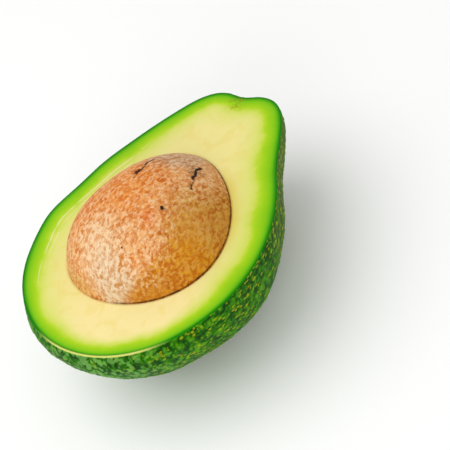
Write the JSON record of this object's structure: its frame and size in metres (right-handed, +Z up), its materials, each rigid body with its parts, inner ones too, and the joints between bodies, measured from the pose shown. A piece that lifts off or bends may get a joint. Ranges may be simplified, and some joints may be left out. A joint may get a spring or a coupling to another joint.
{
  "type": "avocado half with pit",
  "caption": "Pear-shaped avocado cut lengthways, lying on its back with its pit seated in the open cut face",
  "frame": {"origin": "middle of the flat resting spot under the rounded back, straight below the widest part of the fruit", "axes": "+X along the fruit to the stem end, +Y across it, +Z up out of the level cut face"},
  "size_m": [0.1013, 0.0814, 0.0546],
  "materials": {
    "skin": "pebbled glossy green peel with pale yellow-green specks",
    "flesh": "moist satin cut flesh, bright green at the peel and cream by the pit",
    "pit": "matte orange-brown seed coat with cream flecks"
  },
  "bodies": {
    "root": {"skin": "skin", "flesh": "flesh", "pit": "pit"}
  },
  "joints": []
}
